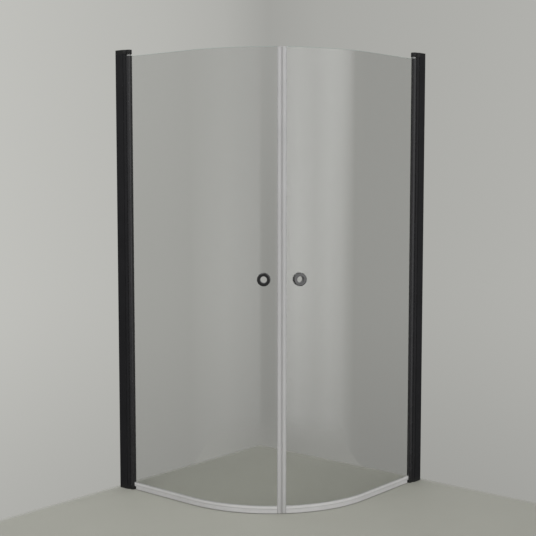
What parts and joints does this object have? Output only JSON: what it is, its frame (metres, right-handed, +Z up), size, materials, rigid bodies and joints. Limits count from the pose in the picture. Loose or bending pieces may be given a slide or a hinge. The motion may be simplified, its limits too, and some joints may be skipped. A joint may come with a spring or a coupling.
{
  "type": "corner shower enclosure",
  "caption": "Quarter-round corner shower enclosure: curved clear glass doors hung in matt black wall profiles, ring grips, magnetic meeting seals and floor sweeps.",
  "frame": {"origin": "middle of the floor square that the enclosure covers, at floor level", "axes": "+Z up; the left wall is the plane x = -0.5 m and the right wall the plane y = +0.5 m, so the room corner is at (-0.5, 0.5) and the curved front faces +X and -Y"},
  "size_m": [1, 1, 2],
  "materials": {
    "black_aluminium": "matt black anodised",
    "tube_aluminium": "matt black anodised, rolled smooth",
    "black_plastic": "fine moulded grain",
    "steel": "ground stainless",
    "screw_steel": "blackened stainless",
    "white_plastic": "turned acetal",
    "black_rubber": "soft black",
    "clear_glass": "clear toughened, polished edges",
    "seal_plastic": "frosted translucent",
    "magnet_strip": "plastic-bonded magnet",
    "grip_metal": "satin black",
    "grip_plastic": "plain"
  },
  "bodies": {
    "root": {"left_wall_profile": "black_aluminium", "left_hinge_profile": "black_aluminium", "left_top_block": "black_plastic", "left_bottom_block": "black_plastic", "left_top_pin": "steel", "left_bottom_pin": "steel", "left_block_screws": "screw_steel", "left_lock_screws": "screw_steel", "right_wall_profile": "black_aluminium", "right_hinge_profile": "black_aluminium", "right_top_block": "black_plastic", "right_bottom_block": "black_plastic", "right_top_pin": "steel", "right_bottom_pin": "steel", "right_block_screws": "screw_steel", "right_lock_screws": "screw_steel"},
    "left_door": {"left_door_tube": "tube_aluminium", "left_top_bush": "white_plastic", "left_bottom_bush": "black_plastic", "left_glazing_gasket": "black_rubber", "left_glass": "clear_glass", "left_magnet_seal": "seal_plastic", "left_magnet": "magnet_strip", "left_bottom_seal": "seal_plastic", "left_grip_outer": "grip_metal", "left_grip_inner": "grip_metal", "left_grip_bush": "grip_plastic", "left_grip_outer_pad": "black_rubber", "left_grip_inner_pad": "black_rubber"},
    "right_door": {"right_door_tube": "tube_aluminium", "right_top_bush": "white_plastic", "right_bottom_bush": "black_plastic", "right_glazing_gasket": "black_rubber", "right_glass": "clear_glass", "right_magnet_seal": "seal_plastic", "right_magnet": "magnet_strip", "right_bottom_seal": "seal_plastic", "right_grip_outer": "grip_metal", "right_grip_inner": "grip_metal", "right_grip_bush": "grip_plastic", "right_grip_outer_pad": "black_rubber", "right_grip_inner_pad": "black_rubber"}
  },
  "joints": [
    {"name": "left_door_hinge", "type": "hinge", "parent": "root", "child": "left_door", "pos_m": [-0.434, -0.48, 0], "axis": [0, 0, -1], "range_deg": [-80, 95]},
    {"name": "right_door_hinge", "type": "hinge", "parent": "root", "child": "right_door", "pos_m": [0.48, 0.434, 0], "axis": [0, 0, 1], "range_deg": [-80, 95]}
  ]
}
